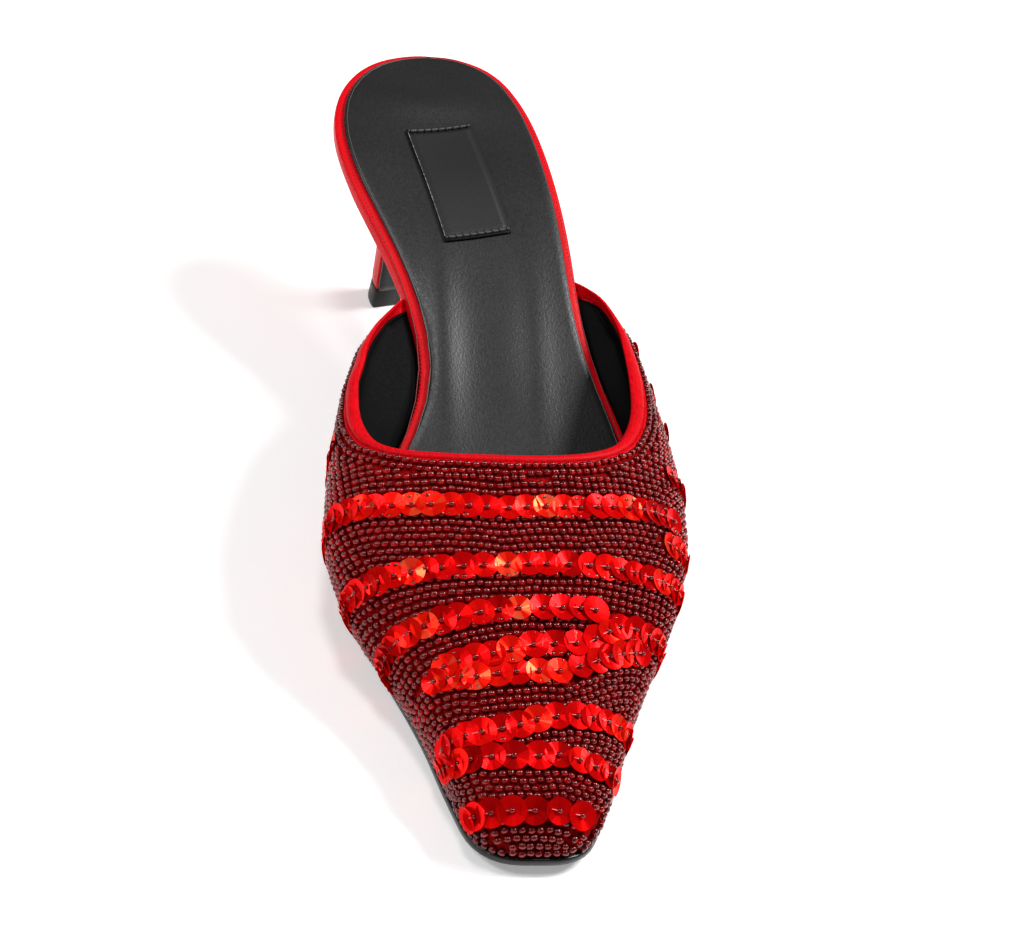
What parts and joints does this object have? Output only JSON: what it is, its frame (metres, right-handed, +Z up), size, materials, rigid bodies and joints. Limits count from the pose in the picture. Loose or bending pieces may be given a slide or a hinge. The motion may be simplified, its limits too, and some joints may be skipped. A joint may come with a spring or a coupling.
{
  "type": "sequin mule",
  "caption": "Left square-toe mule with a beaded and sequinned vamp, red bound topline, black sock lining and a slim flared heel.",
  "frame": {"origin": "centre of the shoe's plan on the floor that it stands on", "axes": "+Y from the toe to the heel along the shoe, +Z up, +X to the outer (lateral) side of the left foot"},
  "size_m": [0.0874, 0.2412, 0.0634],
  "materials": {
    "black_sole": "glossy black sole leather",
    "red_leather": "smooth satin red leather with a fine grain",
    "black_leather": "soft satin black lining leather",
    "black_satin": "woven black satin",
    "beaded_cloth": "dark red cloth sewn with glass seed beads and glossy red sequins",
    "black_rubber": "hard black heel rubber"
  },
  "bodies": {
    "root": {"outsole": "black_sole", "footbed": "red_leather", "sock_lining": "black_leather", "label_patch": "black_satin", "upper": "beaded_cloth", "topline_binding": "red_leather", "heel": "red_leather", "heel_breast": "black_sole", "top_piece": "black_rubber"}
  },
  "joints": []
}
